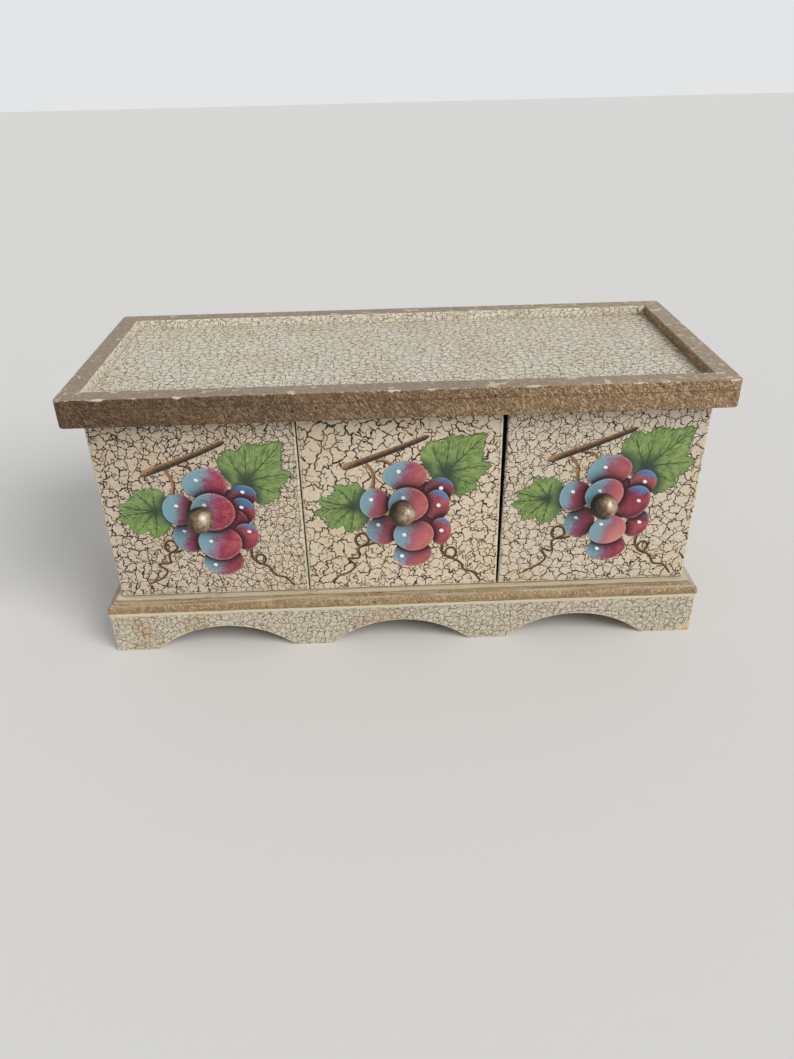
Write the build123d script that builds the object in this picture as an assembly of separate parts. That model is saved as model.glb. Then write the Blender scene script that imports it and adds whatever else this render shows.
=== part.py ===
from build123d import *
import os

# Wooden drawer cabinet, in mm. +X is right, +Y is back, +Z is up.
# The origin is at floor level, in the middle of the whole object's length and depth, knobs included.

# Body of the cabinet, measured over the drawer fronts and the back
body_width = 416.0
body_depth = 161.0
body_height = 140.0
panel_thickness = 9.0
divider_thickness = 9.0
back_thickness = 5.0
back_rabbet_width = 5.0

# Lid: a flat board with a mitred rim strip on top
lid_overhang = 12.0
lid_board_thickness = 12.5
lid_corner_radius = 4.0
lid_arris_radius = 1.2
rim_width = 14.5
rim_height = 7.0
rim_arris_radius = 1.0

# Base: a board with a moulded edge on a frame of mitred aprons
base_projection = 10.0
base_corner_radius = 2.0
moulding_lip_height = 2.0
moulding_round_height = 7.0
moulding_round_radius = 5.5
moulding_top_height = 1.5
moulding_top_setback = 6.0
apron_height = 32.0
apron_thickness = 9.0
apron_setback = 0.6
apron_arris_radius = 0.8
arch_width = 103.0
arch_rise = 19.5
arch_spacing = 131.0
front_arch_count = 3
front_arch_offset = -3.4
arch_foot_radius = 3.5
glue_block_leg = 16.0
glue_block_height = 22.0

# Drawers
drawer_count = 3
front_thickness = 12.0
front_arris_radius = 1.3
front_gap = 0.8
last_gap_bottom = 1.6
last_gap_top = 3.2
front_gap_below = 0.6
front_gap_above = 0.8
box_wall = 6.0
box_bottom_thickness = 3.0
box_bottom_raise = 5.0
groove_depth = 2.5
groove_clearance = 0.15
drawer_side_clearance = 0.6
drawer_running_clearance = 0.3
drawer_top_clearance = 7.0
drawer_back_clearance = 5.0

# Knobs and what fastens them
knob_diameter = 18.5
knob_neck_diameter = 9.0
knob_standoff = 12.0
screw_shank_radius = 1.75
screw_head_radius = 3.8
screw_head_height = 2.2
screw_hole_clearance = 0.25
screw_slot_width = 1.0
screw_slot_depth = 0.9
knob_screw_bite = 9.0

# Screws that hold each drawer front to its box
front_screw_spacing = 76.0
front_screw_bite = 7.0

# Dowels under the lid, screws under the base, nails in the back
dowel_radius = 3.0
dowel_length = 20.0
dowel_lid_depth = 8.0
edge_fixing_inset = 28.0
base_screw_length = 28.0
base_screw_head_radius = 3.6
base_screw_cone_height = 2.6
nail_radius = 0.8
nail_head_radius = 2.0
nail_head_height = 0.6
nail_length = 12.0
nail_end_inset = 20.0

# Levels
base_board_thickness = moulding_lip_height + moulding_round_height + moulding_top_height
base_top_z = apron_height + base_board_thickness
lid_bottom_z = base_top_z + body_height
lid_top_z = lid_bottom_z + lid_board_thickness

# Places from front to back
knob_reach = knob_standoff + knob_diameter / 2
front_face_y = (knob_reach - body_depth - lid_overhang) / 2
carcass_front_y = front_face_y + front_thickness
body_back_y = front_face_y + body_depth
body_mid_y = (front_face_y + body_back_y) / 2
back_panel_y = body_back_y - back_thickness

# Places from left to right
side_inner_x = body_width / 2 - panel_thickness
bay_width = (2 * side_inner_x - (drawer_count - 1) * divider_thickness) / drawer_count
bay_pitch = bay_width + divider_thickness
all_gaps = (drawer_count - 2) * front_gap + last_gap_bottom
front_width = (body_width - all_gaps) / drawer_count

# Drawer box
box_width = bay_width - 2 * drawer_side_clearance
box_bottom_z = base_top_z + drawer_running_clearance
box_top_z = lid_bottom_z - drawer_top_clearance
box_back_y = back_panel_y - drawer_back_clearance
box_inner_y = carcass_front_y + box_wall
panel_z = box_bottom_z + box_bottom_raise
panel_top_z = panel_z + box_bottom_thickness
front_bottom_z = base_top_z + front_gap_below
front_top_z = lid_bottom_z - front_gap_above
knob_z = (front_bottom_z + front_top_z) / 2

base_length = body_width + 2 * base_projection
base_depth = body_depth + 2 * base_projection

# Lengths and levels closer than this are the same
tolerance = 0.001


def block(x_low, x_high, y_low, y_high, z_low, z_high):
    middle = Pos((x_low + x_high) / 2, (y_low + y_high) / 2, (z_low + z_high) / 2)
    return middle * Box(x_high - x_low, y_high - y_low, z_high - z_low)


# A board lying flat, centred on the body, with rounded corners
def slab(length, depth, corner_radius, z_low, height):
    outline = RectangleRounded(length, depth, corner_radius)
    return Pos(0, body_mid_y, z_low) * extrude(outline, height)


def rod_along_y(x, z, y_low, y_high, radius):
    return Pos(x, (y_low + y_high) / 2, z) * Rot(90, 0, 0) * Cylinder(radius, y_high - y_low)


def rod_along_z(x, y, z_low, z_high, radius):
    return Pos(x, y, (z_low + z_high) / 2) * Cylinder(radius, z_high - z_low)


# Cuts a flat ring into four boards with mitred ends
def mitred_boards(ring, length, depth, reach):
    far_x = length / 2
    far_y = depth / 2
    near_x = far_x - reach
    near_y = far_y - reach
    front_plan = Polygon((-far_x, -far_y), (far_x, -far_y), (near_x, -near_y), (-near_x, -near_y), align=None)
    right_plan = Polygon((far_x, -far_y), (far_x, far_y), (near_x, near_y), (near_x, -near_y), align=None)
    plans = {
        "front": front_plan,
        "back": front_plan.mirror(Plane.XZ),
        "left": right_plan.mirror(Plane.YZ),
        "right": right_plan,
    }
    bounds = ring.bounding_box()
    boards = {}
    for side, plan in plans.items():
        wedge = extrude(plan, bounds.size.Z, dir=(0, 0, 1))
        boards[side] = ring & (Pos(0, body_mid_y, bounds.min.Z) * wedge)
    return boards


def edge_fixing_places():
    inner_x = [(index - drawer_count / 2) * bay_pitch for index in range(1, drawer_count)]
    outer_x = body_width / 2 - panel_thickness / 2
    return [
        (x, y)
        for x in [-outer_x, *inner_x, outer_x]
        for y in (carcass_front_y + edge_fixing_inset, back_panel_y - edge_fixing_inset)
    ]


def make_dowels():
    z_low = lid_bottom_z + dowel_lid_depth - dowel_length
    z_high = lid_bottom_z + dowel_lid_depth
    return [rod_along_z(x, y, z_low, z_high, dowel_radius) for x, y in edge_fixing_places()]


# Countersunk screws driven up through the base board into the upright panels
def make_base_screws():
    screws = []
    for x, y in edge_fixing_places():
        cone = Cone(base_screw_head_radius, screw_shank_radius, base_screw_cone_height)
        head = Pos(x, y, apron_height + base_screw_cone_height / 2) * cone
        shank = rod_along_z(x, y, apron_height, apron_height + base_screw_length, screw_shank_radius)
        screws.append(head + shank)
    return screws


def make_top_board(dowels):
    length = body_width + 2 * lid_overhang
    depth = body_depth + 2 * lid_overhang
    board = slab(length, depth, lid_corner_radius, lid_bottom_z, lid_board_thickness)
    board = fillet(board.faces().sort_by(Axis.Z)[0].edges(), lid_arris_radius)
    return board - dowels


def make_rims():
    length = body_width + 2 * lid_overhang
    depth = body_depth + 2 * lid_overhang
    outer = slab(length, depth, lid_corner_radius, lid_top_z, rim_height)
    inner_length = length - 2 * rim_width
    inner_depth = depth - 2 * rim_width
    inner = block(
        -inner_length / 2, inner_length / 2,
        body_mid_y - inner_depth / 2, body_mid_y + inner_depth / 2,
        lid_top_z, lid_top_z + rim_height,
    )
    ring = outer - inner
    ring = fillet(ring.faces().sort_by(Axis.Z)[-1].edges(), rim_arris_radius)
    return mitred_boards(ring, length, depth, 2 * rim_width)


def make_base_board(screws):
    lip_and_round = slab(
        base_length, base_depth, base_corner_radius,
        apron_height, moulding_lip_height + moulding_round_height,
    )
    lip_and_round = fillet(lip_and_round.faces().sort_by(Axis.Z)[-1].edges(), moulding_round_radius)
    top = slab(
        base_length - 2 * moulding_top_setback, base_depth - 2 * moulding_top_setback, base_corner_radius,
        base_top_z - moulding_top_height, moulding_top_height,
    )
    return lip_and_round + top - screws


# One arch: a circular arc over its width, cut through a board that lies along X
def arch_cutter(centre_x, y_low, y_high):
    radius = (arch_width ** 2 / 4 + arch_rise ** 2) / (2 * arch_rise)
    return rod_along_y(centre_x, arch_rise - radius, y_low, y_high, radius)


def make_aprons():
    length = base_length - 2 * apron_setback
    depth = base_depth - 2 * apron_setback
    outer = slab(length, depth, base_corner_radius, 0, apron_height)
    inner_length = length - 2 * apron_thickness
    inner_depth = depth - 2 * apron_thickness
    inner = block(
        -inner_length / 2, inner_length / 2,
        body_mid_y - inner_depth / 2, body_mid_y + inner_depth / 2,
        0, apron_height,
    )
    front_cuts = []
    for index in range(front_arch_count):
        centre_x = front_arch_offset + (index - (front_arch_count - 1) / 2) * arch_spacing
        front_cuts.append(arch_cutter(centre_x, body_mid_y - depth / 2, body_mid_y - inner_depth / 2))
    side_cut = Rot(0, 0, 90) * arch_cutter(0, -length / 2, length / 2)
    ring = outer - inner - front_cuts - Pos(0, body_mid_y, 0) * side_cut
    floor_edges = ring.edges().filter_by(GeomType.LINE).filter_by_position(Axis.Z, -tolerance, tolerance)
    arch_corners = [edge for edge in floor_edges if abs(edge.length - apron_thickness) < tolerance]
    ring = fillet(arch_corners, arch_foot_radius)
    front_face = ring.faces().filter_by(Axis.Y).sort_by(Axis.Y)[0]
    lower_edges = front_face.edges().sort_by(Axis.Z)[:-1]
    upright_edges = lower_edges.filter_by(Axis.Z)
    ring = fillet([edge for edge in lower_edges if edge not in upright_edges], apron_arris_radius)
    return mitred_boards(ring, length, depth, 2 * apron_thickness)


# Three-sided blocks glued into the corners under the base board
def make_glue_blocks():
    inner_x = base_length / 2 - apron_setback - apron_thickness
    inner_y = base_depth / 2 - apron_setback - apron_thickness
    blocks = []
    for side_x in (-1, 1):
        for side_y in (-1, 1):
            corner = (side_x * inner_x, side_y * inner_y)
            along_x = (side_x * (inner_x - glue_block_leg), side_y * inner_y)
            along_y = (side_x * inner_x, side_y * (inner_y - glue_block_leg))
            plan = make_face(Polyline(corner, along_x, along_y, close=True))
            wedge = extrude(plan, glue_block_height, dir=(0, 0, 1))
            blocks.append(Pos(0, body_mid_y, apron_height - glue_block_height) * wedge)
    return blocks


def make_sides(fixings):
    panel = block(
        side_inner_x, body_width / 2,
        carcass_front_y, body_back_y,
        base_top_z, lid_bottom_z,
    )
    rabbet = block(
        side_inner_x, side_inner_x + back_rabbet_width,
        back_panel_y, body_back_y,
        base_top_z, lid_bottom_z,
    )
    right = panel - rabbet
    left = right.mirror(Plane.YZ)
    return {"left_side": left - fixings, "right_side": right - fixings}


def make_dividers(fixings):
    dividers = {}
    for index in range(1, drawer_count):
        centre_x = (index - drawer_count / 2) * bay_pitch
        panel = block(
            centre_x - divider_thickness / 2, centre_x + divider_thickness / 2,
            carcass_front_y, back_panel_y,
            base_top_z, lid_bottom_z,
        )
        dividers[f"divider_{index}"] = panel - fixings
    return dividers


def make_back_nails():
    nails = []
    side_x = side_inner_x + back_rabbet_width / 2
    inner_x = [(index - drawer_count / 2) * bay_pitch for index in range(1, drawer_count)]
    for x in [-side_x, *inner_x, side_x]:
        for z in (base_top_z + nail_end_inset, lid_bottom_z - nail_end_inset):
            head = rod_along_y(x, z, body_back_y, body_back_y + nail_head_height, nail_head_radius)
            shank = rod_along_y(x, z, body_back_y - nail_length, body_back_y, nail_radius)
            nails.append(head + shank)
    return nails


def make_back_panel(nails):
    half = side_inner_x + back_rabbet_width
    return block(-half, half, back_panel_y, body_back_y, base_top_z, lid_bottom_z) - nails


# Screw with its head at the back and its shank towards the front of the cabinet
def make_screw(x, z, head_y, length):
    head = rod_along_y(x, z, head_y, head_y + screw_head_height, screw_head_radius)
    slot = block(
        x - screw_head_radius, x + screw_head_radius,
        head_y + screw_head_height - screw_slot_depth, head_y + screw_head_height,
        z - screw_slot_width / 2, z + screw_slot_width / 2,
    )
    return head - slot + rod_along_y(x, z, head_y - length, head_y, screw_shank_radius)


# Overlay front; its left edge may lean so that the gap beside it widens upwards
def make_front_panel(left_x, right_x, lean, hole_places):
    outline = Polygon(
        (left_x, front_bottom_z), (right_x, front_bottom_z), (right_x, front_top_z), (left_x + lean, front_top_z),
        align=None,
    )
    panel = Pos(0, carcass_front_y, 0) * extrude(Plane.XZ * outline, front_thickness)
    panel = fillet(panel.faces().sort_by(Axis.Y)[0].edges(), front_arris_radius)
    for x, radius, depth in hole_places:
        panel -= rod_along_y(x, knob_z, carcass_front_y - depth, carcass_front_y, radius)
    return panel


def make_knob(x):
    ball_y = front_face_y - knob_standoff
    ball = Pos(x, ball_y, knob_z) * Sphere(knob_diameter / 2)
    neck = rod_along_y(x, knob_z, ball_y, front_face_y, knob_neck_diameter / 2)
    bore = rod_along_y(x, knob_z, front_face_y - knob_screw_bite, front_face_y, screw_shank_radius)
    return ball + neck - bore


# The five boards of one drawer box, grooved for its bottom
def make_box(centre_x, knob_x):
    left_x = centre_x - box_width / 2
    right_x = centre_x + box_width / 2
    inner_left = left_x + box_wall
    inner_right = right_x - box_wall
    groove = block(
        inner_left - groove_depth, inner_right + groove_depth,
        box_inner_y - groove_depth, box_back_y,
        panel_z, panel_top_z,
    )
    bottom = block(
        inner_left - groove_depth + groove_clearance, inner_right + groove_depth - groove_clearance,
        box_inner_y - groove_depth + groove_clearance, box_back_y,
        panel_z, panel_top_z,
    )
    left = block(left_x, inner_left, carcass_front_y, box_back_y, box_bottom_z, box_top_z) - groove
    right = block(inner_right, right_x, carcass_front_y, box_back_y, box_bottom_z, box_top_z) - groove
    front = block(inner_left, inner_right, carcass_front_y, box_inner_y, box_bottom_z, box_top_z) - groove
    for x in (knob_x - front_screw_spacing / 2, knob_x, knob_x + front_screw_spacing / 2):
        front -= rod_along_y(
            x, knob_z, carcass_front_y, box_inner_y, screw_shank_radius + screw_hole_clearance,
        )
    back = block(inner_left, inner_right, box_back_y - box_wall, box_back_y, panel_top_z, box_top_z)
    return {
        "box_left": left,
        "box_right": right,
        "box_front": front,
        "box_back": back,
        "box_bottom": bottom,
    }


def make_drawer(index):
    last = index == drawer_count - 1
    left_x = -body_width / 2 + index * (front_width + front_gap)
    if last:
        left_x = body_width / 2 - front_width
    right_x = left_x + front_width
    lean = last_gap_top - last_gap_bottom if last else 0
    centre_x = (index - (drawer_count - 1) / 2) * bay_pitch
    knob_x = (left_x + right_x) / 2
    screw_x = (knob_x - front_screw_spacing / 2, knob_x + front_screw_spacing / 2)
    holes = [(x, screw_shank_radius, front_screw_bite) for x in screw_x]
    holes.append((knob_x, screw_shank_radius + screw_hole_clearance, front_thickness))
    nodes = make_box(centre_x, knob_x)
    nodes["front"] = make_front_panel(left_x, right_x, lean, holes)
    nodes["knob"] = make_knob(knob_x)
    knob_screw_length = box_wall + front_thickness + knob_screw_bite
    nodes["knob_screw"] = make_screw(knob_x, knob_z, box_inner_y, knob_screw_length)
    screws = [make_screw(x, knob_z, box_inner_y, box_wall + front_screw_bite) for x in screw_x]
    nodes["front_screws"] = Compound(children=screws)
    return nodes


def make_cabinet():
    dowels = make_dowels()
    base_screws = make_base_screws()
    nails = make_back_nails()
    fixings = dowels + base_screws + nails
    nodes = {
        "top_board": make_top_board(dowels),
        "base_board": make_base_board(base_screws),
        "back_panel": make_back_panel(nails),
        "glue_blocks": Compound(children=make_glue_blocks()),
        "lid_dowels": Compound(children=dowels),
        "base_screws": Compound(children=base_screws),
        "back_nails": Compound(children=nails),
    }
    nodes.update(make_sides(fixings))
    nodes.update(make_dividers(fixings))
    for side, board in make_rims().items():
        nodes[f"{side}_rim"] = board
    for side, board in make_aprons().items():
        nodes[f"{side}_apron"] = board
    for index in range(drawer_count):
        for name, solid in make_drawer(index).items():
            nodes[f"drawer_{index + 1}_{name}"] = solid
    return nodes


os.makedirs("parts", exist_ok=True)
for node_name, node_shape in make_cabinet().items():
    export_step(node_shape, f"parts/{node_name}.step")
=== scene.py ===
import math
from functools import partial

import bpy
from mathutils import Matrix, Vector


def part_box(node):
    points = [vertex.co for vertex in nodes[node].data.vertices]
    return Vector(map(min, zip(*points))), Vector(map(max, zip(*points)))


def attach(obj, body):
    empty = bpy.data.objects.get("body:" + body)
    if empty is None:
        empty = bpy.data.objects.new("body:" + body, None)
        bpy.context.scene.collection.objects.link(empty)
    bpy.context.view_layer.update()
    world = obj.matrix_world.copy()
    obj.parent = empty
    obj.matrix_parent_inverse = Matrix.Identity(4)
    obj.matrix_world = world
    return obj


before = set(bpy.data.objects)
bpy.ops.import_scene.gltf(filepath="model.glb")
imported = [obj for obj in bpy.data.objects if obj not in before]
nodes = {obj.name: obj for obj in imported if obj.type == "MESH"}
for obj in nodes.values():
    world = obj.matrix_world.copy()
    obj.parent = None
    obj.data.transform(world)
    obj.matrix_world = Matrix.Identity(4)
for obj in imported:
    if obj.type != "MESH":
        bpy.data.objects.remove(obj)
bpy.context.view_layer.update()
mm = 0.001
print("frame loaded:", len(nodes), "nodes")

# Places read from the frame, in metres
lidLow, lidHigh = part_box("top_board")
rimLow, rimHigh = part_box("front_rim")
baseLow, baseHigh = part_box("base_board")
sideLow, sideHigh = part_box("right_side")
lidMiddleY = (lidLow.y + lidHigh.y) / 2
rimWidth = rimHigh.y - rimLow.y
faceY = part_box("drawer_1_front")[0].y

# Short names of nodes, and the setting that a kind's second word stands for
shortNames = {"+": "Math ADD", "-": "Math SUBTRACT", "*": "Math MULTIPLY", "*+": "Math MULTIPLY_ADD",
              ">": "Math GREATER_THAN", "<": "Math LESS_THAN", "min": "Math MINIMUM", "max": "Math MAXIMUM",
              "abs": "Math ABSOLUTE", "dot": "VectorMath DOT_PRODUCT", "scale": "VectorMath SCALE",
              "length": "VectorMath LENGTH", "range": "MapRange", "soft": "MapRange SMOOTHSTEP", "blend": "Mix RGBA"}
modes = {"Math": "operation", "VectorMath": "operation", "MapRange": "interpolation_type", "Mix": "data_type"}
white = "#ffffff"
mostly = 0.7  # a face points along an axis where its normal's part is more than this


def hexColour(text):
    channels = [int(text[index:index + 2], 16) / 255 for index in (1, 3, 5)]
    linear = [c / 12.92 if c <= 0.04045 else ((c + 0.055) / 1.055) ** 2.4 for c in channels]
    return (*linear, 1.0)


# Gives a socket a value, a hex colour, or a link from another socket or a node's first live output
def give(socket, value):
    if isinstance(value, bpy.types.Node):
        value = next(each for each in value.outputs if each.enabled)
    if isinstance(value, bpy.types.NodeSocket):
        socket.id_data.links.new(value, socket)
    elif value is not None:
        socket.default_value = hexColour(value) if isinstance(value, str) else value


# Adds a node, such as "+" or "VectorMath ADD", and gives its live inputs their values in order
def addNode(tree, kind, *values, **settings):
    kind, *mode = shortNames.get(kind, kind).split()
    node = tree.nodes.new("ShaderNode" + kind)
    if mode:
        settings[modes[kind]] = mode[0]
    for name, value in settings.items():
        setattr(node, name, value)
    for socket, value in zip([each for each in node.inputs if each.enabled], values):
        give(socket, value)
    return node


# A material with settings for its shader, and its own way to add nodes
def newMaterial(name, **settings):
    material = bpy.data.materials.new(name)
    material.use_nodes = True
    for socket, value in settings.items():
        give(material.node_tree.nodes["Principled BSDF"].inputs[socket.replace("_", " ")], value)
    return material, partial(addNode, material.node_tree)


# Soft patches: noise of a size, detail and roughness, spread from one range to another
def patches(add, where, look, *spread, kind="range", dimensions="3D"):
    size, detail, roughness = look
    noise = add("TexNoise", where, 1 / size, detail, roughness, noise_dimensions=dimensions)
    return add(kind, noise, *spread)


# 1 from full to fade, and 0 up to start and from end on
def between(add, value, start, full, fade, end):
    return add("*", add("range", value, start, full), add("range", value, fade, end, 1.0, 0.0))


# Lays colours of a look over a first colour, each by its own amount
def layColours(add, look, colour, **amounts):
    for name, amount in amounts.items():
        colour = add("blend", amount, colour, look[name])
    return colour


# Lays one finish over another where amount is 1
def layOver(add, amount, under, over):
    finish = {part: add("Mix", amount, under[part], over[part]) for part in ("rough", "height")}
    finish["colour"] = add("blend", amount, under["colour"], over["colour"])
    return finish


# Links a finish to a material's shader, with bumps of a depth
def applyFinish(material, add, depth, colour, rough, height, metal=None):
    bump = add("Bump", 0.8, depth, None, height)
    for socket, value in (("Base Color", colour), ("Roughness", rough), ("Metallic", metal), ("Normal", bump)):
        give(material.node_tree.nodes["Principled BSDF"].inputs[socket], value)
    return material


# Where a point is and which way its face points, in the object's own space
def readPlace(add):
    where = add("TexCoord").outputs
    place = {"whole": where["Object"], "facing": where["Normal"]}
    for source, prefix in (("whole", ""), ("facing", "n")):
        for axis, part in zip("xyz", add("SeparateXYZ", place[source]).outputs):
            place[prefix + axis] = part
    # A flat map that follows whichever way a board's face points
    sideways = add(">", add("abs", place["nx"]), mostly)
    level = add(">", add("abs", place["nz"]), mostly)
    across = add("Mix", sideways, place["x"], place["y"])
    along = add("Mix", level, place["z"], place["y"])
    place["plane"] = add("CombineXYZ", across, along, 0.0)
    return place


# How far a point on a board is from the board's nearer end along each axis, in metres
def endGaps(add, at, axes, low, high):
    return [add("min", add("-", at[axis], lowest), add("-", highest, at[axis]))
            for axis, lowest, highest in zip(axes, low, high)]


# How far it is from the board's nearest edge: the middle one of its three gaps
def edgeDistance(add, at, low, high):
    gapX, gapY, gapZ = endGaps(add, at, "xyz", low, high)
    return add("max", add("min", gapX, gapY), add("min", add("max", gapX, gapY), gapZ))


# The crack net's own sizes, as shares of an island's width
netLook = {"grain": 0.25, "wander": 0.7, "pull": 0.36, "small": 0.62, "swell": 1.3}


# Cracks between islands of paint, and how near a crack is. An island is a group of small grains, so that the cracks
# run jagged from grain to grain and some stop short
def crackNet(add, plane, cell, width):
    wander = add("TexNoise", plane, 1 / (cell * netLook["wander"]), 2.0, 0.5, noise_dimensions="2D")
    pull = add("VectorMath SUBTRACT", wander.outputs["Color"], (0.5, 0.5, 0.5))
    bent = add("VectorMath ADD", plane, add("scale", pull, cell * netLook["pull"]))
    size = cell * netLook["grain"]
    grains = [add("TexVoronoi", bent, 1 / size, voronoi_dimensions="2D", feature=nearest).outputs["Position"]
              for nearest in ("F1", "F2")]
    # How far the point is from the border between its two nearest grains
    middle = add("scale", add("VectorMath ADD", *grains), 0.5)
    across = add("VectorMath NORMALIZE", add("VectorMath SUBTRACT", *grains))
    offset = add("VectorMath SUBTRACT", bent, middle)
    distance = add("abs", add("dot", offset, across))
    # Large islands have wide cracks between them, and small ones inside them have thin cracks that stop short
    reaches = []
    for size, low, high, least, most in ((cell, 0.4, 0.62, 0.5, 1.0), (cell * netLook["small"], 0.45, 0.6, 0.0, 0.4)):
        groups = [add("TexVoronoi", grain, 1 / size, voronoi_dimensions="2D").outputs["Position"] for grain in grains]
        apart = add(">", add("VectorMath DISTANCE", *groups), size * 0.01)
        swell = patches(add, plane, (size * netLook["swell"], 1.0, 0.5), low, high, least * width / 2, most * width / 2,
                        dimensions="2D")
        reaches.append(add("*", apart, swell))
    reach = add("+", add("max", *reaches), 0.005 * mm)  # never quite 0, to divide by
    ratio = add("Math DIVIDE", distance, reach)
    crack = add("soft", ratio, 0.7, 1.3, 1.0, 0.0)
    halo = add("soft", ratio, 1.0, 4.5, 1.0, 0.0)
    return crack, halo


# Cream paint over a crackle medium: matte islands, large where the coat was thick and small where it was thin
def creamCrackle(add, at, look):
    plane = at["plane"]
    finer = look["finer"]
    if finer:
        # An exponential bend shrinks the islands steadily one way and keeps their shape
        turned = add("Mapping", plane, look["centre"], (0, 0, math.radians(look["finerTo"])),
                     (1 / finer, 1 / finer, 1), vector_type="TEXTURE")
        grow, angle = add("SeparateXYZ", turned).outputs[:2]
        plane = add("CombineXYZ", add("Math COSINE", angle), add("Math SINE", angle), 0.0)
        plane = add("scale", add("scale", plane, add("Math EXPONENT", grow)), 1 / finer)
    plane = add("VectorMath ADD", plane, (look["shift"], look["shift"] * 0.7, 0))
    cracks, halo = crackNet(add, plane, look["cell"], look["crack"])
    aged = patches(add, plane, (38 * mm, 3.0, 0.55), 0.42, 0.68, 0.0, look["ageing"], dimensions="2D", kind="soft")
    if "agedTo" in look:
        aged = add("*", aged, add("range", at["x"], *look["agedTo"], 1.0, 0.1))
    mottle = patches(add, plane, (2.2 * mm, 4.0, 0.75), 0.3, 0.72, dimensions="2D", kind="soft")
    halo = add("*", halo, look["halo"])
    ink = add("*", cracks, look["dark"])
    colour = layColours(add, look, look["cream"], pale=mottle, aged=aged, haloColour=halo, crackColour=ink)
    rough = add("range", cracks, 0.0, 1.0, 0.46, 0.85)
    height = add("-", add("*", mottle, 0.08), cracks)
    return {"colour": colour, "rough": rough, "height": height}


# Bronze-brown acrylic, dabbed on thick: a satin skin of slanting, winding ridges (drawn a little coarser than real, to
# show), lighter on the ridges as painted highlight and darker between them as painted shade, with dark nicks
def bronzePaint(add, at, look):
    plane = add("VectorMath ADD", at["plane"], (look["shift"], 0, 0))
    cloud = patches(add, at["whole"], (19 * mm, 4.0, 0.62), 0.36, 0.66, 0.25, 0.75, kind="soft")
    slant = (0, 0, math.radians(look["slant"]))
    slanted = add("Mapping", plane, None, slant, (2.0, 1.0, 1.0), vector_type="TEXTURE")
    pebble = add("TexNoise", slanted, 1 / look["ridge"], 1.5, 0.5, 2.0, 0.8, noise_dimensions="2D")
    fold = add("abs", add("-", pebble, 0.5))
    hollow = add("soft", fold, 0.08, 0.2, 0.0, 0.4)
    ridge = add("soft", fold, 0.0, 0.07, 1.0, 0.0)
    bright = add("*", ridge, look["sparkle"])
    stain = patches(add, at["whole"], (26 * mm, 4.0, 0.7), 0.57, 0.72, 0.0, 0.45, kind="soft")
    spots = add("TexVoronoi", plane, 1 / (17 * mm), voronoi_dimensions="2D")
    size = patches(add, plane, (30 * mm, 1.0, 0.5), 0.5, 0.64, 0.0, 0.05, dimensions="2D")
    nick = add("<", spots, size)
    colour = layColours(add, look, look["brown"], gold=cloud, glint=bright, hollow=hollow, stain=stain, nick=nick)
    rough = add("range", ridge, 0.0, 1.0, 0.6, 0.4)
    return {"colour": colour, "rough": rough, "height": add("-", ridge, nick)}


# Planed softwood: long grain lines one way, fine pores across
def bareWood(add, at, look):
    stretch = {"x": (0.035, 1.0, 1.0), "y": (1.0, 0.035, 1.0), "z": (1.0, 1.0, 0.035)}[look["along"]]
    fibre = add("Mapping", at["whole"], None, None, stretch)
    rings = patches(add, fibre, (4 * mm, 5.0, 0.62), 0.36, 0.66)
    pores = add("TexNoise", fibre, 1 / (0.7 * mm), 3.0, 0.65)
    deep = add("soft", pores, 0.48, 0.7, 0.0, 0.5)
    colour = layColours(add, look, look["pale"], dark=rings, pore=deep)
    return {"colour": colour, "rough": add("range", pores, 0.3, 0.7, 0.6, 0.78), "height": pores}


# Pale ground coat that shows where an edge has rubbed
rubbedCoat = {"colour": "#d9cfb4", "rough": 0.6, "height": 0.0}
# The dark base coat painted on the sides in the open gap between drawers 2 and 3, as painted shade in the gap: where it
# is, and how far back it starts
gapLook = {"x": 69.3 * mm, "reach": 3 * mm, "behind": 3 * mm}
gapShade = {"colour": "#2a2016", "rough": 0.8, "height": 0.0}
woodLook = {"pale": "#cfae7e", "dark": "#b38b59", "pore": "#8d6a42", "along": "x"}
knockedLook = {**woodLook, "pale": "#dcc691", "dark": "#c8aa6e"}
plyLook = {"pale": "#c7a474", "dark": "#a98253", "pore": "#7f5f3c", "along": "x"}
fineLook = {
    "cream": "#c6bda9", "pale": "#d3ccbb", "aged": "#c6b795", "ageing": 0.35, "crackColour": "#4e4331", "dark": 0.85,
    "halo": 0.25, "haloColour": "#9c8c70", "cell": 4.2 * mm, "crack": 0.75 * mm, "finer": 0, "shift": 4.1,
}
bronzeLook = {"brown": "#795e43", "gold": "#9d805c", "glint": "#d6b791", "hollow": "#4b3523", "stain": "#6e624a",
              "nick": "#2a1a14", "sparkle": 0.8, "ridge": 1.7 * mm, "slant": -52, "shift": 0.9}
# Shared look of the drawer fronts
frontLook = {
    "cream": "#d2c1a6", "pale": "#e2d2bc", "aged": "#d0b88e", "ageing": 0.35, "crackColour": "#241910", "dark": 0.97,
    "halo": 0.42, "haloColour": "#a68a5e", "edge": 1.5 * mm, "grime": "#5d4c33", "paintedShade": "#e4e3e6",
}
# Where each front's islands grow finer: the way as an angle, and how fast, per metre
frontChanges = {
    1: {"cell": 6.5 * mm, "crack": 1.02 * mm, "finer": 3.8, "finerTo": -10, "shift": 0.31},
    2: {"cell": 9.6 * mm, "crack": 1.2 * mm, "finer": 2.0, "finerTo": -50, "shift": 1.73},
    3: {"cell": 7.6 * mm, "crack": 0.96 * mm, "finer": 2.4, "finerTo": 135, "shift": 2.57, "cream": "#ccbda6",
        "pale": "#ddd0bd"},
}


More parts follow.
